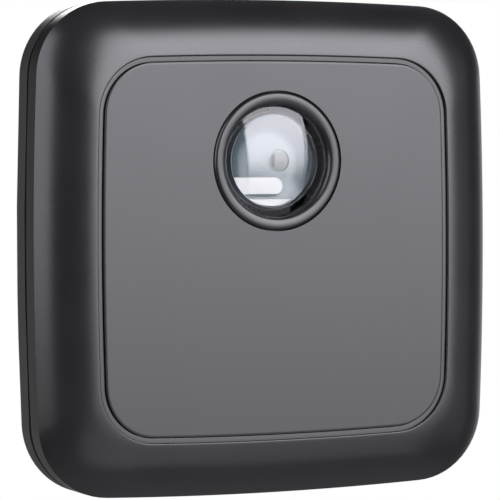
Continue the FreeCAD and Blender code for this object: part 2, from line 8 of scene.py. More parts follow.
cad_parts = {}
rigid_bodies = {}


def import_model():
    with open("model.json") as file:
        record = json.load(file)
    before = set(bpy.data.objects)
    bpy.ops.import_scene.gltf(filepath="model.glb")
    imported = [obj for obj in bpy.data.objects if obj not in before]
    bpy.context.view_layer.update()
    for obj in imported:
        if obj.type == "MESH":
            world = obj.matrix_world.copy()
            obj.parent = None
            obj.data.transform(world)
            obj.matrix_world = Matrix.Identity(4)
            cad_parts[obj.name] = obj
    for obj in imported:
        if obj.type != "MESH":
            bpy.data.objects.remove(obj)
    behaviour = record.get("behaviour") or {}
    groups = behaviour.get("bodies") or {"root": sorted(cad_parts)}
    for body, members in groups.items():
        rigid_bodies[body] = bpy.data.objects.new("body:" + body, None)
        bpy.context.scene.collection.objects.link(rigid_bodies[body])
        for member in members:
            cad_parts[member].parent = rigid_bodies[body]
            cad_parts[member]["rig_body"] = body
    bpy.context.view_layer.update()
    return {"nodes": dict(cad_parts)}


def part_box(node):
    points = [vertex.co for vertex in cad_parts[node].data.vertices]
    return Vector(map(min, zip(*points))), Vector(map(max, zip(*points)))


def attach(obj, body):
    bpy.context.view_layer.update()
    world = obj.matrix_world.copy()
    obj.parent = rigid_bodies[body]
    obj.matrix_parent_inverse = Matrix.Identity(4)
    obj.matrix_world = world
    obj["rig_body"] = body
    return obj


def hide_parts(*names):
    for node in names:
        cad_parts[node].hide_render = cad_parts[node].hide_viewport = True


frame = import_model()
nodes = frame["nodes"]
mm = 0.001

# Front cover: the crowned front half of the case, injection moulded in black ABS with a satin face.
# A recessed channel with a rounded lip frames the face, a pocket takes the panel, and a bore seats
# the lens. The side band meets the crown in a crease, and stops above the seal at the seam.
side_points = 20
corner_points = 14
bow_radius = 650 * mm
body_radius = 12 * mm
face_half = 31 * mm
face_radius = 9.3 * mm
crown_drop = 4.7 * mm
crown_bulge = 1.0 * mm
crown_rings = 28
moulded_edge = 0.12 * mm
round_middle = 0.3
channel_depth = 0.55 * mm
channel_slope = 0.27 * mm
channel_lip = 0.25 * mm
channel_lip_steps = ((0, 0), (0.38, 0.08), (0.7, 0.3), (0.92, 0.62), (1, 1))
channel_edge = 0.1 * mm
channel_half = 31.15 * mm
pocket_inset = 0.88 * mm
case_wall = 2 * mm
tongue_gap = 0.1 * mm
tongue_inset = 3.1 * mm
tongue_level = -4.2 * mm
seam_level = -6.5 * mm
rib_level = -7.7 * mm
crown_foot = -8.9 * mm
ceiling_level = -11.2 * mm
ceiling_half = 34.6 * mm
ceiling_radius = 8.5 * mm
lens_seat_level = -12.1 * mm
lens_seat_radius = 10.6 * mm
cover_bore = 9.1 * mm
sharp_angle = math.radians(32)
cover_low, cover_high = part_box("front_cover")
body_half = cover_high.x
face_level = cover_low.y
crease_level = face_level + crown_drop
ring_low, ring_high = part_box("lens_ring")
pocket_level = ring_high.y
lens_height = (ring_low.z + ring_high.z) / 2


def outline(half, radius, level):
    """Points round a square of four slightly bowed sides, joined by tangent corner arcs."""
    bow_centre = half - bow_radius
    reach = bow_radius - radius
    corner = (bow_centre + math.sqrt(2 * reach ** 2 - bow_centre ** 2)) / 2
    tilt = math.asin(corner / reach)
    points = []
    for quarter in range(4):
        turn = Matrix.Rotation(math.pi / 2 * quarter, 3, "Y")
        for step in range(side_points):
            angle = tilt * (2 * step / side_points - 1)
            x = bow_radius * math.sin(angle)
            z = bow_centre + bow_radius * math.cos(angle)
            points.append(turn @ Vector((x, 0, z)) + Vector((0, level, 0)))
        for step in range(corner_points):
            angle = tilt + (math.pi / 2 - 2 * tilt) * step / corner_points
            x = corner + radius * math.sin(angle)
            z = corner + radius * math.cos(angle)
            points.append(turn @ Vector((x, 0, z)) + Vector((0, level, 0)))
    return points


def inset_outline(inset, level):
    return outline(body_half - inset, body_radius - inset, level)


def face_outline(inset, level):
    return outline(face_half - inset, face_radius - inset, level)


def channel_outline(inset, level):
    return face_outline(face_half - channel_half + inset, level)


def circle(radius, level, points, x=0.0, z=lens_height):
    """Points round a circle that faces the front. It lies round the lens unless x and z say where."""
    ring = []
    for step in range(points):
        angle = 2 * math.pi * step / points
        ring.append(Vector((x + radius * math.sin(angle), level, z + radius * math.cos(angle))))
    return ring


def face_circle(radius, level):
    """Circle round the lens, with as many points as the outline and in step with them."""
    first = side_points // 2
    ring = circle(radius, level, 4 * (side_points + corner_points))
    return ring[-first:] + ring[:-first]


def add_rings(build, rings, closed):
    """Quads between rings of points that all have the same number of points."""
    rows = [[build.verts.new(point) for point in ring] for ring in rings]
    pairs = list(zip(rows, rows[1:]))
    if closed:
        pairs.append((rows[-1], rows[0]))
    else:
        build.faces.new(rows[0])
        build.faces.new(rows[-1])
    for row, following in pairs:
        for place in range(len(row)):
            after = (place + 1) % len(row)
            build.faces.new((row[place], row[after], following[after], following[place]))


def add_to_scene(name, data):
    """Object that holds a mesh, a lamp or the camera."""
    piece = bpy.data.objects.new(name, data)
    bpy.context.scene.collection.objects.link(piece)
    return piece


def smooth_piece(name, mesh):
    """Object whose mesh is shaded smooth between its sharp edges."""
    mesh.shade_smooth()
    mesh.set_sharp_from_angle(angle=sharp_angle)
    return add_to_scene(name, mesh)


def even_normals(piece):
    """Weigh the normals by the area of the faces, so that a flat looks flat beside a small round."""
    even = piece.modifiers.new("even_normals", "WEIGHTED_NORMAL")
    even.keep_sharp = True


def shell(name, groups, closed=True):
    """Object made of one skin for each group of rings."""
    build = bmesh.new()
    for rings in groups:
        add_rings(build, rings, closed)
    bmesh.ops.recalc_face_normals(build, faces=build.faces)
    mesh = bpy.data.meshes.new(name)
    build.to_mesh(mesh)
    build.free()
    piece = smooth_piece(name, mesh)
    even_normals(piece)
    return piece


def seat(piece, node, material):
    """Fit a modelled piece where its CAD node is, on the same body."""
    piece.data.materials.append(material)
    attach(piece, nodes[node]["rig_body"])
    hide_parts(node)


plastic_index = 1.54
plastic_drift = 70
drift_detail = 3
grain_detail = 2
noise_low = 0.3
noise_high = 0.7


def new_material(name):
    material = bpy.data.materials.new(name)
    material.use_nodes = True
    return material, material.node_tree, material.node_tree.nodes["Principled BSDF"]


def places(tree):
    """Places on the piece, in metres."""
    return tree.nodes.new("ShaderNodeTexCoord").outputs["Object"]


def noise(tree, where, scale, detail):
    """Value that wanders from place to place, and mostly stays between noise_low and noise_high."""
    wander = tree.nodes.new("ShaderNodeTexNoise")
    wander.inputs["Scale"].default_value = scale
    wander.inputs["Detail"].default_value = detail
    tree.links.new(where, wander.inputs["Vector"])
    return wander.outputs["Fac"]


def ranged(tree, value, old, new):
    """Value moved from an old range to a new one."""
    spread = tree.nodes.new("ShaderNodeMapRange")
    spread.inputs["From Min"].default_value, spread.inputs["From Max"].default_value = old
    spread.inputs["To Min"].default_value, spread.inputs["To Max"].default_value = new
    tree.links.new(value, spread.inputs["Value"])
    return spread.outputs["Result"]


def drifting(tree, drift, limits, socket):
    """Let a value wander slowly over the surface between two limits."""
    slow = noise(tree, places(tree), drift, drift_detail)
    tree.links.new(ranged(tree, slow, (noise_low, noise_high), limits), socket)
    return slow


def raised(tree, shader, height, depth, sunk=False):
    """Relief that is too fine to model, as bump."""
    bump = tree.nodes.new("ShaderNodeBump")
    bump.invert = sunk
    bump.inputs["Strength"].default_value = 1
    bump.inputs["Distance"].default_value = depth
    tree.links.new(height, bump.inputs["Height"])
    tree.links.new(bump.outputs["Normal"], shader.inputs["Normal"])


def two_toned(tree, factor, dark, light, socket):
    tones = tree.nodes.new("ShaderNodeValToRGB")
    tones.color_ramp.elements[0].position = noise_low
    tones.color_ramp.elements[0].color = (*dark, 1)
    tones.color_ramp.elements[1].position = noise_high
    tones.color_ramp.elements[1].color = (*light, 1)
    tree.links.new(factor, tones.inputs["Fac"])
    tree.links.new(tones.outputs["Color"], socket)


def moulded(name, dark, light, grain, depth, roughness, index=plastic_index):
    """Moulded plastic: fine grain, and a colour and gloss that drift a little."""
    material, tree, shader = new_material(name)
    shader.inputs["IOR"].default_value = index
    raised(tree, shader, noise(tree, places(tree), 1 / grain, grain_detail), depth)
    slow = drifting(tree, plastic_drift, roughness, shader.inputs["Roughness"])
    two_toned(tree, slow, dark, light, shader.inputs["Base Color"])
    return material


boss_points = 32
case_boss = {"bore": 1.25 * mm, "outer": 2.8 * mm, "back": -6.1 * mm, "front": -11.6 * mm}
board_boss = {"bore": 1.0 * mm, "outer": 2.4 * mm, "back": -9.7 * mm, "front": -11.6 * mm}


def tube(x, z, bore, outer, back, front):
    """Rings of a round boss with a hole through it."""
    return [
        circle(bore, back, boss_points, x, z),
        circle(outer, back, boss_points, x, z),
        circle(outer, front, boss_points, x, z),
        circle(bore, front, boss_points, x, z),
    ]


shell_rings = [
    inset_outline(case_wall + tongue_gap, seam_level),
    inset_outline(moulded_edge, seam_level),
    inset_outline(moulded_edge * round_middle, seam_level - moulded_edge * round_middle),
    inset_outline(0, seam_level - moulded_edge),
    inset_outline(0, crease_level + moulded_edge),
]
crown_width = body_half - channel_half
crown_chord = math.hypot(crown_width, crown_drop)
crown_half_turn = 2 * math.atan(2 * crown_bulge / crown_chord)
crown_arc_radius = crown_chord / 2 / math.sin(crown_half_turn)
crown_first_slope = math.atan2(crown_drop, crown_width) - crown_half_turn
for step in range(crown_rings):
    slope = crown_first_slope + 2 * crown_half_turn * (1 - step / crown_rings)
    out = crown_arc_radius * (math.sin(slope) - math.sin(crown_first_slope))
    drop = crown_arc_radius * (math.cos(crown_first_slope) - math.cos(slope))
    radius = face_radius + (body_radius - face_radius) * out / crown_width
    shell_rings.append(outline(channel_half + out, radius, face_level + drop))
for across, down in channel_lip_steps:
    shell_rings.append(channel_outline(channel_lip * across, face_level + channel_lip * down))
land_level = face_level + channel_depth
edge_middle = channel_edge * round_middle
shell_rings += [
    channel_outline(channel_slope, land_level),
    face_outline(pocket_inset - channel_edge, land_level),
    face_outline(pocket_inset - edge_middle, land_level + edge_middle),
    face_outline(pocket_inset, land_level + channel_edge),
    face_outline(pocket_inset, pocket_level),
    face_circle(cover_bore, pocket_level),
    face_circle(cover_bore, lens_seat_level),
    face_circle(lens_seat_radius, lens_seat_level),
    face_circle(lens_seat_radius, ceiling_level),
    outline(ceiling_half, ceiling_radius, ceiling_level),
    inset_outline(case_wall, crown_foot),
    inset_outline(case_wall, rib_level),
    inset_outline(tongue_inset, rib_level),
    inset_outline(tongue_inset, tongue_level),
    inset_outline(case_wall + tongue_gap, tongue_level),
]
case_screw_place = 31.5 * mm
board_screw_inset = 4 * mm
board_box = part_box("circuit_board")
board_screw_x = board_box[1].x - board_screw_inset
board_screw_z = board_box[1].z - board_screw_inset
groups = [shell_rings]
for x in (-case_screw_place, case_screw_place):
    for z in (-case_screw_place, case_screw_place):
        groups.append(tube(x, z, **case_boss))
for x, z in ((-board_screw_x, board_screw_z), (board_screw_x, -board_screw_z)):
    groups.append(tube(x, z, **board_boss))
case_black = moulded(
    "case_black", dark=(0.012, 0.012, 0.0125), light=(0.015, 0.015, 0.0155),
    grain=0.22 * mm, depth=0.0015 * mm, roughness=(0.26, 0.3),
)
seat(shell("front_shell", groups), "front_cover", case_black)

# Lens gasket: a flat ring of black silicone rubber between the lens flange and its seat.
# It is die cut from sheet, and is squeezed when the board screws are driven in.
seal_rubber = moulded(
    "seal_rubber", dark=(0.003, 0.003, 0.003), light=(0.005, 0.005, 0.005),
    grain=0.3 * mm, depth=0.004 * mm, roughness=(0.6, 0.72), index=1.42,
)


def dress(node, material):
    """Give a CAD piece whose mesh stays its finish."""
    nodes[node].data.materials.clear()
    nodes[node].data.materials.append(material)


dress("lens_gasket", seal_rubber)

# Lens: clear plastic, moulded with a polished dome and a polished hollow behind it.
# Its side walls and its flange are matt. The flange is clamped from behind, and the dome stands
# just below the crest of the ring.
lens_points = 160
dome_steps = 32
ceiling_steps = 24
lens_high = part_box("lens")[1]
lens_radius = 8.9 * mm
lens_hollow = 7.5 * mm
lens_edge_level = -14.05 * mm
lens_thickness = 1.6 * mm
lens_flange_level = -11.7 * mm
lens_round = 0.15 * mm
dome_rise = 1.45 * mm
axis_gap = 0.04 * mm
lens_crest = lens_edge_level - dome_rise
lens_back = lens_high.y
lens_flange = lens_high.x
dome_radius = (lens_radius ** 2 + dome_rise ** 2) / (2 * dome_rise)
hollow_radius = dome_radius - lens_thickness
dome_middle = lens_crest + dome_radius
lens_index = 1.49
lens_drift = 90


def dome_rings(radius, edge, points):
    """Steps outwards from the lens axis to its edge or its hollow, along a dome."""
    turn = math.asin(edge / radius)
    steps = [turn * step / points for step in range(1, points + 1)]
    return [(radius * math.sin(angle), dome_middle - radius * math.cos(angle)) for angle in steps]


def lens_plastic(name, tint, clearness, roughness):
    material, tree, shader = new_material(name)
    shader.inputs["Base Color"].default_value = (*tint, 1)
    shader.inputs["Transmission Weight"].default_value = clearness
    shader.inputs["IOR"].default_value = lens_index
    drifting(tree, lens_drift, roughness, shader.inputs["Roughness"])
    return material


def add_material(piece, material):
    """Put a further material on a piece, and say which place it has in the piece's list."""
    piece.data.materials.append(material)
    return len(piece.data.materials) - 1


ceiling = dome_rings(hollow_radius, lens_hollow - lens_round, ceiling_steps)
ceiling_edge = ceiling[-1][1]
lens_profile = [(axis_gap, lens_crest)]
lens_profile += dome_rings(dome_radius, lens_radius, dome_steps)
lens_profile += [
    (lens_radius, lens_flange_level),
    (lens_flange - lens_round, lens_flange_level),
    (lens_flange, lens_flange_level + lens_round),
    (lens_flange, lens_back),
    (lens_hollow, lens_back),
    (lens_hollow, ceiling_edge + lens_round),
    (lens_hollow - lens_round * round_middle, ceiling_edge + lens_round * round_middle),
]
lens_profile += ceiling[::-1] + [(axis_gap, lens_crest + lens_thickness)]
lens_rings = [circle(radius, level, lens_points) for radius, level in lens_profile]
lens_clear = lens_plastic("lens_clear", (0.975, 0.985, 0.99), clearness=1, roughness=(0.0, 0.03))
lens = shell("lens_dome", [lens_rings], closed=False)
seat(lens, "lens", lens_clear)
lens_matt = lens_plastic("lens_matt", (0.85, 0.87, 0.95), clearness=0.9, roughness=(0.5, 0.6))
matt_place = add_material(lens, lens_matt)
for face in lens.data.polygons:
    across = math.hypot(face.center.x, face.center.z - lens_height)
    outside = across > lens_radius - lens_round and face.center.y > lens_edge_level
    inside = abs(across - lens_hollow) < lens_round and face.center.y > ceiling_edge
    if outside or inside:
        face.material_index = matt_place

# Light well: a cup moulded in pale grey ABS, whose glossy sloping wall leads the light to the sensor.
# Two pads are raised on the foot of its wall, where the lamps shine in through the lens. Their white
# is painted light, a pool of light on the lower cup, though their tilt also catches the real lamps.
# Its darker flange props the lens from behind, and a round hole in its floor clears the photodiode.
well_points = 96
well_outer = 9.15 * mm
well_rim = 7.5 * mm
well_hole = 1.7 * mm
well_edge = 0.12 * mm
well_floor_thickness = 0.3 * mm
photodiode_shift = 2.2 * mm
well_low, well_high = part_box("light_well")
well_floor = well_high.y - well_floor_thickness
well_front = well_low.y
well_bend_start = 4.05 * mm
well_bend_end = 5.6 * mm
well_bend_steps = 12
well_bend = well_bend_end - well_bend_start
well_slope = (well_floor - well_front) / (well_bend / 2 + well_rim - well_bend_end)
well_rings = [
    circle(well_outer, well_high.y, well_points),
    circle(well_outer, well_front + well_edge, well_points),
    circle(well_outer - well_edge, well_front, well_points),
    circle(well_rim + well_edge, well_front, well_points),
    circle(well_rim, well_front + well_edge, well_points),
]
for step in range(well_bend_steps, -1, -1):
    out = well_bend * step / well_bend_steps
    level = well_floor - well_slope * out ** 2 / 2 / well_bend
    well_rings.append(circle(well_bend_start + out, level, well_points))
well_rings += [
    circle(well_hole + well_edge, well_floor, well_points, photodiode_shift),
    circle(well_hole, well_floor + well_edge, well_points, photodiode_shift),
    circle(well_hole, well_high.y, well_points, photodiode_shift),
]
well_grey = moulded(
    "well_grey", dark=(0.1, 0.14, 0.15), light=(0.245, 0.305, 0.32),
    grain=0.3 * mm, depth=0.002 * mm, roughness=(0.12, 0.2),
)
pad_radius = 7.2 * mm
ledge_top = 2.57 * mm
ledge_foot = 5.3 * mm
ledge_end = 1.1 * mm
foot_top = 6.05 * mm
pad_rise = 0.7 * mm
pad_tilt = math.radians(10.5)
pad_steps = 12
pad_share = 0.94


def pad_arc(first, last):
    """Points along the rim of the cup, clockwise from one angle to another, from the right."""
    turns = [first + (last - first) * step / pad_steps for step in range(pad_steps + 1)]
    return [(pad_radius * math.cos(turn), -pad_radius * math.sin(turn)) for turn in turns]


def pad_ring(points, share, drop):
    """An outline on the slope of the pads, drawn in to a share of its size and set back by a drop."""
    middle_x = sum(x for x, z in points) / len(points)
    middle_z = sum(z for x, z in points) / len(points)
    ring = []
    for x, z in points:
        x, z = middle_x + (x - middle_x) * share, middle_z + (z - middle_z) * share
        rise = pad_rise - (ledge_top + z) * math.tan(pad_tilt)
        ring.append(Vector((x, well_floor - rise + drop, lens_height + z)))
    return ring


end_radius = (ledge_foot - ledge_top) / 2
end_turns = [math.pi * step / pad_steps for step in range(pad_steps + 1)]
ledge_points = [
    (ledge_end + end_radius * math.sin(turn), end_radius * (math.cos(turn) - 1) - ledge_top)
    for turn in end_turns
]
ledge_foot_turn = math.pi - math.asin(ledge_foot / pad_radius)
ledge_top_turn = math.pi - math.asin(ledge_top / pad_radius)
ledge_points += pad_arc(ledge_foot_turn, ledge_top_turn)
foot_turn = math.asin(foot_top / pad_radius)
foot_points = pad_arc(foot_turn, math.pi - foot_turn)
well = shell("light_cup", [well_rings])
cup_faces = len(well.data.polygons)
pads = bmesh.new()
pads.from_mesh(well.data)
for points in (ledge_points, foot_points):
    base = [Vector((point.x, well_floor, point.z)) for point in pad_ring(points, 1, 0)]
    top = pad_ring(points, pad_share, 0)
    add_rings(pads, [base, pad_ring(points, 1, well_edge), top], closed=False)
bmesh.ops.recalc_face_normals(pads, faces=pads.faces)
pads.to_mesh(well.data)
pads.free()
seat(well, "light_well", well_grey)
# White of the pads: painted light, a pool of light on the lower left of the cup, on pads that also
# catch the lamps.
pads_painted_light = moulded(
    "pads_painted_light", dark=(0.75, 0.74, 0.7), light=(0.82, 0.82, 0.8),
    grain=0.3 * mm, depth=0.002 * mm, roughness=(0.1, 0.2),
)
flange_dark = moulded(
    "flange_dark", dark=(0.1, 0.1, 0.115), light=(0.13, 0.13, 0.15),
    grain=0.3 * mm, depth=0.002 * mm, roughness=(0.3, 0.4),
)
flange_place = add_material(well, flange_dark)
pads_painted_light_place = add_material(well, pads_painted_light)
for face in well.data.polygons:
    if math.hypot(face.center.x, face.center.z - lens_height) > well_rim:
        face.material_index = flange_place
    # The pads take the white: painted light where the lamps fall into the cup.
    if face.index >= cup_faces:
        face.material_index = pads_painted_light_place

# Photodiode: a small chip in a dark epoxy package, soldered to the front of the board.
# It looks out through the hole in the floor of the cup.
edge_steps = 2
flat_angle = math.radians(1)
weld_reach = 0.001 * mm


def broken_edges(node, name, edge):
    """Copy of a rigid CAD piece whose sharp edges carry a small radius."""
    mesh = nodes[node].data.copy()
    build = bmesh.new()
    build.from_mesh(mesh)
    bmesh.ops.remove_doubles(build, verts=build.verts, dist=weld_reach)
    bmesh.ops.dissolve_limit(build, angle_limit=flat_angle, verts=build.verts, edges=build.edges)
    build.to_mesh(mesh)
    build.free()
    mesh.materials.clear()
    piece = smooth_piece(name, mesh)
    bevel = piece.modifiers.new("edge_radius", "BEVEL")
    bevel.limit_method = "ANGLE"
    bevel.angle_limit = sharp_angle
    bevel.width = edge
    bevel.segments = edge_steps
    even_normals(piece)
    return piece


def refine(node, name, edge, material):
    """Fit a copy of a CAD piece with broken edges in the piece's own place."""
    seat(broken_edges(node, name, edge), node, material)


sensor_brown = moulded(
    "sensor_brown", dark=(0.035, 0.032, 0.03), light=(0.05, 0.045, 0.042),
    grain=0.3 * mm, depth=0.001 * mm, roughness=(0.15, 0.25),
)
refine("photodiode", "light_chip", 0.06 * mm, sensor_brown)

# Circuit board: glass-epoxy laminate under green solder mask, with copper tracks that show through.
# It is screwed to the front cover at two opposite corners.
track_field = 3.9 * mm
track_wander = 0.6
track_depth = 0.03 * mm
mask_index = 1.55
mask_drift = 300
mask_green = (0.006, 0.045, 0.018)
track_green = (0.014, 0.085, 0.035)
board_green, tree, shader = new_material("board_green")
shader.inputs["IOR"].default_value = mask_index
tracks = tree.nodes.new("ShaderNodeTexVoronoi")
tracks.feature = "DISTANCE_TO_EDGE"
tracks.inputs["Scale"].default_value = 1 / track_field
tracks.inputs["Randomness"].default_value = track_wander
tree.links.new(places(tree), tracks.inputs["Vector"])
from_track = tracks.outputs["Distance"]
two_toned(tree, from_track, track_green, mask_green, shader.inputs["Base Color"])
raised(tree, shader, from_track, track_depth, sunk=True)
drifting(tree, mask_drift, (0.2, 0.32), shader.inputs["Roughness"])
refine("circuit_board", "laminate", 0.05 * mm, board_green)

# Microcontroller and radio chip: flat leadless packages of black moulded epoxy.
# Both are soldered to the front of the board, away from the lens.
chip_black = moulded(
    "chip_black", dark=(0.02, 0.02, 0.021), light=(0.03, 0.03, 0.031),
    grain=0.12 * mm, depth=0.004 * mm, roughness=(0.45, 0.6),
)
refine("microcontroller", "controller_chip", 0.05 * mm, chip_black)
refine("radio_chip", "radio_package", 0.05 * mm, chip_black)

# Crystal: a small can with a welded nickel-plated lid, beside the radio chip.
# Like the stamped contacts and the cell, it is bare metal with the marks of rolling and pressing.
rolling_scale = 900
rolling_detail = 3
worn_share = 0.82


def bare_metal(name, colour, roughness, stretch):
    """Rolled or plated metal: fine drawn lines, with gloss that drifts along them."""
    material, tree, shader = new_material(name)
    shader.inputs["Metallic"].default_value = 1
    drawn = tree.nodes.new("ShaderNodeMapping")
    drawn.inputs["Scale"].default_value = stretch
    tree.links.new(places(tree), drawn.inputs["Vector"])
    lines = noise(tree, drawn.outputs["Vector"], rolling_scale, rolling_detail)
    tree.links.new(ranged(tree, lines, (0, 1), roughness), shader.inputs["Roughness"])
    worn = tuple(part * worn_share for part in colour)
    two_toned(tree, lines, worn, colour, shader.inputs["Base Color"])
    return material


steel = bare_metal("steel", (0.62, 0.61, 0.58), roughness=(0.18, 0.4), stretch=(0.12, 1, 1))
refine("crystal", "crystal_can", 0.12 * mm, steel)

# Chip capacitors: eight ceramic blocks in two rows, with tinned ends.
# The tan ceramic is fired rough, and the ends shine where the solder wets them.
tinned_length = 0.35 * mm
ceramic_place = 0
tin_place = 1
chip_tan = moulded(
    "chip_tan", dark=(0.3, 0.2, 0.12), light=(0.36, 0.25, 0.15),
    grain=0.1 * mm, depth=0.003 * mm, roughness=(0.4, 0.55),
)
tin = bare_metal("tin", (0.7, 0.7, 0.69), roughness=(0.2, 0.35), stretch=(1, 1, 1))
capacitors = broken_edges("chip_capacitors", "ceramic_chips", 0.05 * mm)
capacitor_low, capacitor_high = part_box("chip_capacitors")
band_low = capacitor_low.z + tinned_length
band_high = capacitor_high.z - tinned_length
cutting = bmesh.new()
cutting.from_mesh(capacitors.data)
for band in (band_low, band_high):
    everything = cutting.verts[:] + cutting.edges[:] + cutting.faces[:]
    bmesh.ops.bisect_plane(cutting, geom=everything, plane_co=(0, 0, band), plane_no=(0, 0, 1))
for face in cutting.faces:
    middle = face.calc_center_median().z
    face.material_index = ceramic_place if band_low < middle < band_high else tin_place
cutting.to_mesh(capacitors.data)
cutting.free()
seat(capacitors, "chip_capacitors", chip_tan)
capacitors.data.materials.append(tin)

# Antenna: a strip stamped from plated steel, which stands on two legs along the top of the board.
# Both legs are soldered to the front of the board.
refine("antenna", "strip_antenna", 0.04 * mm, steel)

# Status lamp: a light-emitting diode in a moulded block of pale, slightly milky epoxy.
# It is soldered to the back of the board, under the battery door.
led_clear = moulded(
    "led_clear", dark=(0.75, 0.72, 0.6), light=(0.85, 0.82, 0.68),
    grain=0.2 * mm, depth=0.001 * mm, roughness=(0.1, 0.2),
)
refine("status_led", "status_lamp", 0.06 * mm, led_clear)

# Setting potentiometers: blue moulded bodies with slotted white rotors in them.
# Each rotor turns in its body by a screwdriver, and a notch in its rim points to the setting.
trimmer_blue = moulded(
    "trimmer_blue", dark=(0.02, 0.1, 0.33), light=(0.03, 0.13, 0.4),
    grain=0.15 * mm, depth=0.003 * mm, roughness=(0.35, 0.45),
)
dial_white = moulded(
    "dial_white", dark=(0.72, 0.71, 0.67), light=(0.8, 0.79, 0.75),
    grain=0.15 * mm, depth=0.002 * mm, roughness=(0.35, 0.45),
)
refine("trimmer_bodies", "trimmer_blocks", 0.1 * mm, trimmer_blue)
refine("lux_dial", "lux_rotor", 0.08 * mm, dial_white)
refine("timer_dial", "timer_rotor", 0.08 * mm, dial_white)

# Learn switch: a tactile switch with a black body and a red plunger that springs back.
# Both are moulded plastic. It is pressed through the open battery bay when the sensor is paired.
button_red = moulded(
    "button_red", dark=(0.35, 0.015, 0.012), light=(0.45, 0.02, 0.016),
    grain=0.15 * mm, depth=0.002 * mm, roughness=(0.3, 0.4),
)
refine("learn_switch_body", "switch_block", 0.1 * mm, chip_black)
refine("learn_button", "switch_plunger", 0.06 * mm, button_red)

# Board screws: two pan-head screws of zinc-plated steel, driven into bosses of the front cover.
# They clamp the board, and with it the cup, the lens and its gasket.
screw_steel = bare_metal("screw_steel", (0.5, 0.5, 0.49), roughness=(0.25, 0.42), stretch=(1, 0.3, 1))
refine("board_screws", "board_pins", 0.2 * mm, screw_steel)

# Cell contacts: a slotted spring disc under the cell, and a clip that grips its side.
# Both are stamped from nickel-plated spring steel and soldered to the back of the board.
refine("cell_base_contact", "base_spring", 0.03 * mm, steel)
refine("cell_side_clip", "side_spring", 0.03 * mm, steel)

# Coin cell: a lithium cell in a polished steel can, with its rolled rim and narrower cap.
# It drops in from behind, cap first, and the battery door keeps it on its contacts.
cell_steel = bare_metal("cell_steel", (0.66, 0.65, 0.62), roughness=(0.12, 0.28), stretch=(1, 1, 0.1))
refine("coin_cell", "lithium_cell", 0.25 * mm, cell_steel)

# Case seal: a cord of black silicone rubber, squeezed between the two halves of the case.
# Only its outer edge shows, set back in the seam, where it reads as a black line.
dress("case_seal", seal_rubber)

# Rear cover: the back half of the case, moulded in the same black ABS with a finely sparked texture.
# Its recess takes the wall bracket, and its corner bores take the screws that close the case.
rear_black = moulded(
    "rear_black", dark=(0.034, 0.034, 0.035), light=(0.042, 0.042, 0.043),
    grain=0.3 * mm, depth=0.006 * mm, roughness=(0.34, 0.42),
)
refine("rear_cover", "rear_shell", moulded_edge, rear_black)

# Case screws: four zinc-plated pan-head screws with a cross recess, driven up the corner bores
# into bosses of the front cover. Their heads sit below the back, and are reached once the case is
# off its bracket.
refine("case_screws", "closing_screws", 0.2 * mm, screw_steel)

# Battery door: a flat plate moulded in black ABS like the rear cover, flush with the floor of its
# recess. A ring on its inside steadies the cell.
refine("battery_door", "door_plate", moulded_edge, rear_black)

# Door gasket: black silicone rubber, bonded to the inside of the battery door.
# It lifts out with the door, and keeps damp out of the battery bay.
dress("door_gasket", seal_rubber)

# Door screws: two small zinc-plated screws with a cross recess, which hold the door down.
# They are captive in the door, and lift out with it.
refine("door_screws", "door_pins", 0.12 * mm, screw_steel)

# Panel adhesive: a frame of thin black foam tape, die cut, between the panel and its pocket.
# The liner side is smooth and the cut edge is open-celled.
adhesive_tape = moulded(
    "adhesive_tape", dark=(0.012, 0.012, 0.013), light=(0.03, 0.03, 0.032),
    grain=0.18 * mm, depth=0.02 * mm, roughness=(0.7, 0.85),
)
dress("panel_adhesive", adhesive_tape)

# Face panel: a flat plate moulded in black plastic, with a satin face and a softly rolled edge.
# It is bonded into the pocket, and the narrow gap all round it shows as the inner of the two dark
# lines on the face.
panel_low, panel_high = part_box("front_panel")
panel_gap = 0.1 * mm
panel_edge = 0.06 * mm
panel_roll = 0.4 * mm
panel_roll_drop = 0.08 * mm
panel_roll_steps = 8
panel_hole = 11.3 * mm


def panel_outline(inset, level):
    return face_outline(pocket_inset + panel_gap + inset, level)


panel_rings = [
    panel_outline(0, panel_high.y),
    panel_outline(0, panel_low.y + panel_roll_drop + panel_edge),
]
for step in range(panel_roll_steps + 1):
    inset = panel_edge + (panel_roll - panel_edge) * step / panel_roll_steps
    drop = panel_roll_drop * (1 - inset / panel_roll) ** 2
    panel_rings.append(panel_outline(inset, panel_low.y + drop))
panel_rings += [
    face_circle(panel_hole + panel_edge, panel_low.y),
    face_circle(panel_hole + panel_edge * round_middle, panel_low.y + panel_edge * round_middle),
    face_circle(panel_hole, panel_low.y + panel_edge),
    face_circle(panel_hole, panel_high.y),
]
panel_black = moulded(
    "panel_black", dark=(0.014, 0.0138, 0.0155), light=(0.017, 0.0168, 0.0188),
    grain=0.2 * mm, depth=0.0015 * mm, roughness=(0.3, 0.34),
)
seat(shell("face_panel", [panel_rings]), "front_panel", panel_black)

# Lens ring: moulded in black ABS and pressed in round the lens, with a broad low crest.
# It stands proud of the panel, and catches a band of light round its crest.
ring_points = 128
side_steps = 12
crest_steps = 10
ring_bore = 9 * mm
ring_outer = ring_high.x
crest_level = ring_low.y
crest_radius = 2.6 * mm
crest_place = 10.3 * mm
outer_round = 0.6 * mm
inner_round = 0.9 * mm


def side_round(wall, side, radius):
    """Middle of the round at a side of the ring, and the angle at which it meets the crest."""
    reach = crest_radius - radius
    tilt = math.asin((wall - side * radius - crest_place) / reach)
    return wall - side * radius, crest_level + crest_radius - reach * math.cos(tilt), tilt


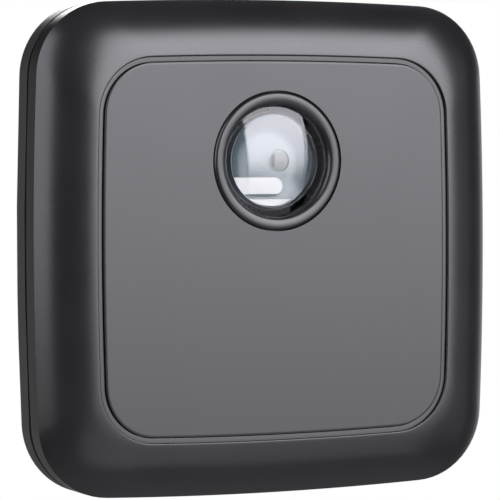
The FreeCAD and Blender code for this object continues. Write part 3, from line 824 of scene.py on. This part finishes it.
outer_middle, outer_level, outer_tilt = side_round(ring_outer, 1, outer_round)
inner_middle, inner_level, inner_tilt = side_round(ring_bore, -1, inner_round)
ring_rings = [
    circle(ring_bore, pocket_level, ring_points),
    circle(ring_outer, pocket_level, ring_points),
]
for step in range(side_steps):
    angle = math.pi / 2 + (outer_tilt - math.pi / 2) * step / side_steps
    radius = outer_middle + outer_round * math.sin(angle)
    ring_rings.append(circle(radius, outer_level - outer_round * math.cos(angle), ring_points))
for step in range(crest_steps):
    angle = outer_tilt + (inner_tilt - outer_tilt) * step / crest_steps
    radius = crest_place + crest_radius * math.sin(angle)
    ring_rings.append(circle(radius, crest_level + crest_radius * (1 - math.cos(angle)), ring_points))
for step in range(side_steps + 1):
    angle = inner_tilt - (inner_tilt + math.pi / 2) * step / side_steps
    radius = inner_middle + inner_round * math.sin(angle)
    ring_rings.append(circle(radius, inner_level - inner_round * math.cos(angle), ring_points))
ring_black = moulded(
    "ring_black", dark=(0.012, 0.012, 0.0125), light=(0.015, 0.015, 0.0155),
    grain=0.2 * mm, depth=0.001 * mm, roughness=(0.26, 0.3),
)
seat(shell("lens_surround", [ring_rings]), "lens_ring", ring_black)

# Wall bracket: a stiff moulded frame in black ABS, held on the wall by two countersunk screws.
# Its side flanges hook behind the four lips of the case, which drops onto them from above.
refine("wall_bracket", "bracket_frame", 0.2 * mm, rear_black)

# Floor: a wide pale sheet, well below the sensor, which hangs as it does on a wall.
# The sheet takes the soft shadow, and is white where it is seen directly or through the lens.
floor_level = -1100 * mm
floor_half = 2500 * mm
floor_grey = (0.5, 0.5, 0.5)
floor_roughness = 0.9
floor_mirror = 0.1
floor_white = 0.97
half_a_bounce = 0.5
floor_mesh = bpy.data.meshes.new("floor")
floor_corners = [
    (-floor_half, -floor_half, floor_level),
    (floor_half, -floor_half, floor_level),
    (floor_half, floor_half, floor_level),
    (-floor_half, floor_half, floor_level),
]
floor_mesh.from_pydata(floor_corners, [], [(0, 1, 2, 3)])
floor = add_to_scene("floor", floor_mesh)


def worked(tree, operation, *values):
    """Result of a sum, a product or a comparison of two values, each a number or an output."""
    work = tree.nodes.new("ShaderNodeMath")
    work.operation = operation
    for socket, value in zip(work.inputs, values):
        if isinstance(value, (int, float)):
            socket.default_value = value
        else:
            tree.links.new(value, socket)
    return work.outputs["Value"]


def background_share(tree):
    """1 for the camera, and for what it sees straight through glass, else 0."""
    seen = tree.nodes.new("ShaderNodeLightPath")
    bounces = worked(tree, "ADD", seen.outputs["Diffuse Depth"], seen.outputs["Glossy Depth"])
    straight = worked(tree, "LESS_THAN", bounces, half_a_bounce)
    through = worked(tree, "MULTIPLY", seen.outputs["Is Transmission Ray"], straight)
    return worked(tree, "MAXIMUM", seen.outputs["Is Camera Ray"], through)


floor_pale, tree, shader = new_material("floor_pale")
shader.inputs["Base Color"].default_value = (*floor_grey, 1)
shader.inputs["Roughness"].default_value = floor_roughness
shader.inputs["Specular IOR Level"].default_value = floor_mirror
shader.inputs["Emission Color"].default_value = (1, 1, 1, 1)
floor_strength = worked(tree, "MULTIPLY", background_share(tree), floor_white)
tree.links.new(floor_strength, shader.inputs["Emission Strength"])
floor_mesh.materials.append(floor_pale)

# Studio: a surround that is white where it is seen directly or through the lens.
# In reflections it is a dim glow low behind the sensor and a dark room in front of it, so that
# only the softboxes draw bands on the black case.
glow_towards_wall = (0, 0.7)
glow_upwards = (-0.15, 0.3)
glow_strengths = (0.26, 0.02)
room_strength = 0.01
studio = bpy.data.worlds.new("studio")
studio.use_nodes = True
bpy.context.scene.world = studio
tree = studio.node_tree
background = tree.nodes["Background"]
background.inputs["Color"].default_value = (1, 1, 1, 1)
direction = tree.nodes.new("ShaderNodeTexCoord")
split = tree.nodes.new("ShaderNodeSeparateXYZ")
tree.links.new(direction.outputs["Generated"], split.inputs["Vector"])
behind = ranged(tree, split.outputs["Y"], glow_towards_wall, (0, 1))
above = ranged(tree, split.outputs["Z"], glow_upwards, glow_strengths)
room = worked(tree, "ADD", worked(tree, "MULTIPLY", behind, above), room_strength)
strength = worked(tree, "MAXIMUM", room, background_share(tree))
tree.links.new(strength, background.inputs["Strength"])

# Softboxes: a large one in front and to the right, a strip on the left, and a low card that lights
# the foot of the case. One behind lights the back, and two dim cards on the right give the side
# and the rim there a faint edge.
object_middle = Vector((0, face_level / 2, 0))
lamp_distance = 1.0
violet = (0.97, 0.955, 1.03)


def softbox(name, azimuth, elevation, width, height, radiance, colour=violet):
    """Rectangular lamp that faces the sensor. Azimuth is from straight ahead, to the left."""
    turn, lift = math.radians(azimuth), math.radians(elevation)
    level_share = math.cos(lift)
    away = Vector((-math.sin(turn) * level_share, -math.cos(turn) * level_share, math.sin(lift)))
    lamp = bpy.data.lights.new(name, "AREA")
    lamp.shape = "RECTANGLE"
    lamp.size = width
    lamp.size_y = height
    lamp.energy = radiance * math.pi * width * height
    lamp.color = colour
    holder = add_to_scene(name, lamp)
    holder.location = object_middle + away * lamp_distance
    holder.rotation_mode = "QUATERNION"
    holder.rotation_quaternion = (-away).to_track_quat("-Z", "Y")
    return lamp


main = softbox(
    "main_softbox", azimuth=-24.6, elevation=12, width=0.82, height=1.35, radiance=7.8
)
softbox("low_card", azimuth=-12, elevation=-34, width=0.9, height=0.45, radiance=0.85)
softbox("left_strip", azimuth=75, elevation=21, width=0.7, height=1.0, radiance=3.5)
softbox(
    "rear_softbox", azimuth=-150, elevation=28, width=0.8, height=0.8, radiance=4.5,
    colour=(1, 1, 1),
)
softbox("right_card", azimuth=-64, elevation=-4, width=0.5, height=0.9, radiance=0.3)
softbox("rim_card", azimuth=-128, elevation=-4, width=0.5, height=0.9, radiance=0.75)

# Baffle: the cloth inside the main softbox, which spreads the light of its lamp.
# It is brightest above the middle, and fades towards the foot and the head of the box.
fade_foot = (0.04, 0.04)
fade_between = ((0.22, 0.25), (0.42, 0.84), (0.6, 1), (0.8, 1))
fade_head = (1, 0.2)
main.use_nodes = True
tree = main.node_tree
place = tree.nodes.new("ShaderNodeNewGeometry")
split = tree.nodes.new("ShaderNodeSeparateXYZ")
fade = tree.nodes.new("ShaderNodeValToRGB")
stops = fade.color_ramp.elements
for stop, (height, share) in zip(stops, (fade_foot, fade_head)):
    stop.position = height
    stop.color = (share, share, share, 1)
for height, share in fade_between:
    stops.new(height).color = (share, share, share, 1)
tree.links.new(place.outputs["Parametric"], split.inputs["Vector"])
tree.links.new(split.outputs["Y"], fade.inputs["Fac"])
tree.links.new(fade.outputs["Color"], tree.nodes["Emission"].inputs["Strength"])

# Camera, at the photograph's angle: a long lens half a metre off, from the left and a little above
# the middle. It is rolled by a fraction of a degree, so that the case stands as it does there.
camera_place = (-199.76 * mm, -448.43 * mm, 19.18 * mm)
camera_look = (0.40945, 0.91142, -0.04075)
camera_roll = math.radians(0.1831)
camera_data = bpy.data.cameras.new("camera")
camera_data.sensor_width = 36
camera_data.lens = 213.84
camera = add_to_scene("camera", camera_data)
camera.location = camera_place
camera.rotation_mode = "QUATERNION"
look = Vector(camera_look).normalized()
aim = look.to_track_quat("-Z", "Y").to_matrix().to_4x4()
camera.rotation_quaternion = (Matrix.Rotation(camera_roll, 4, look) @ aim).to_quaternion()
bpy.context.scene.camera = camera
bpy.context.scene.view_settings.view_transform = "Standard"
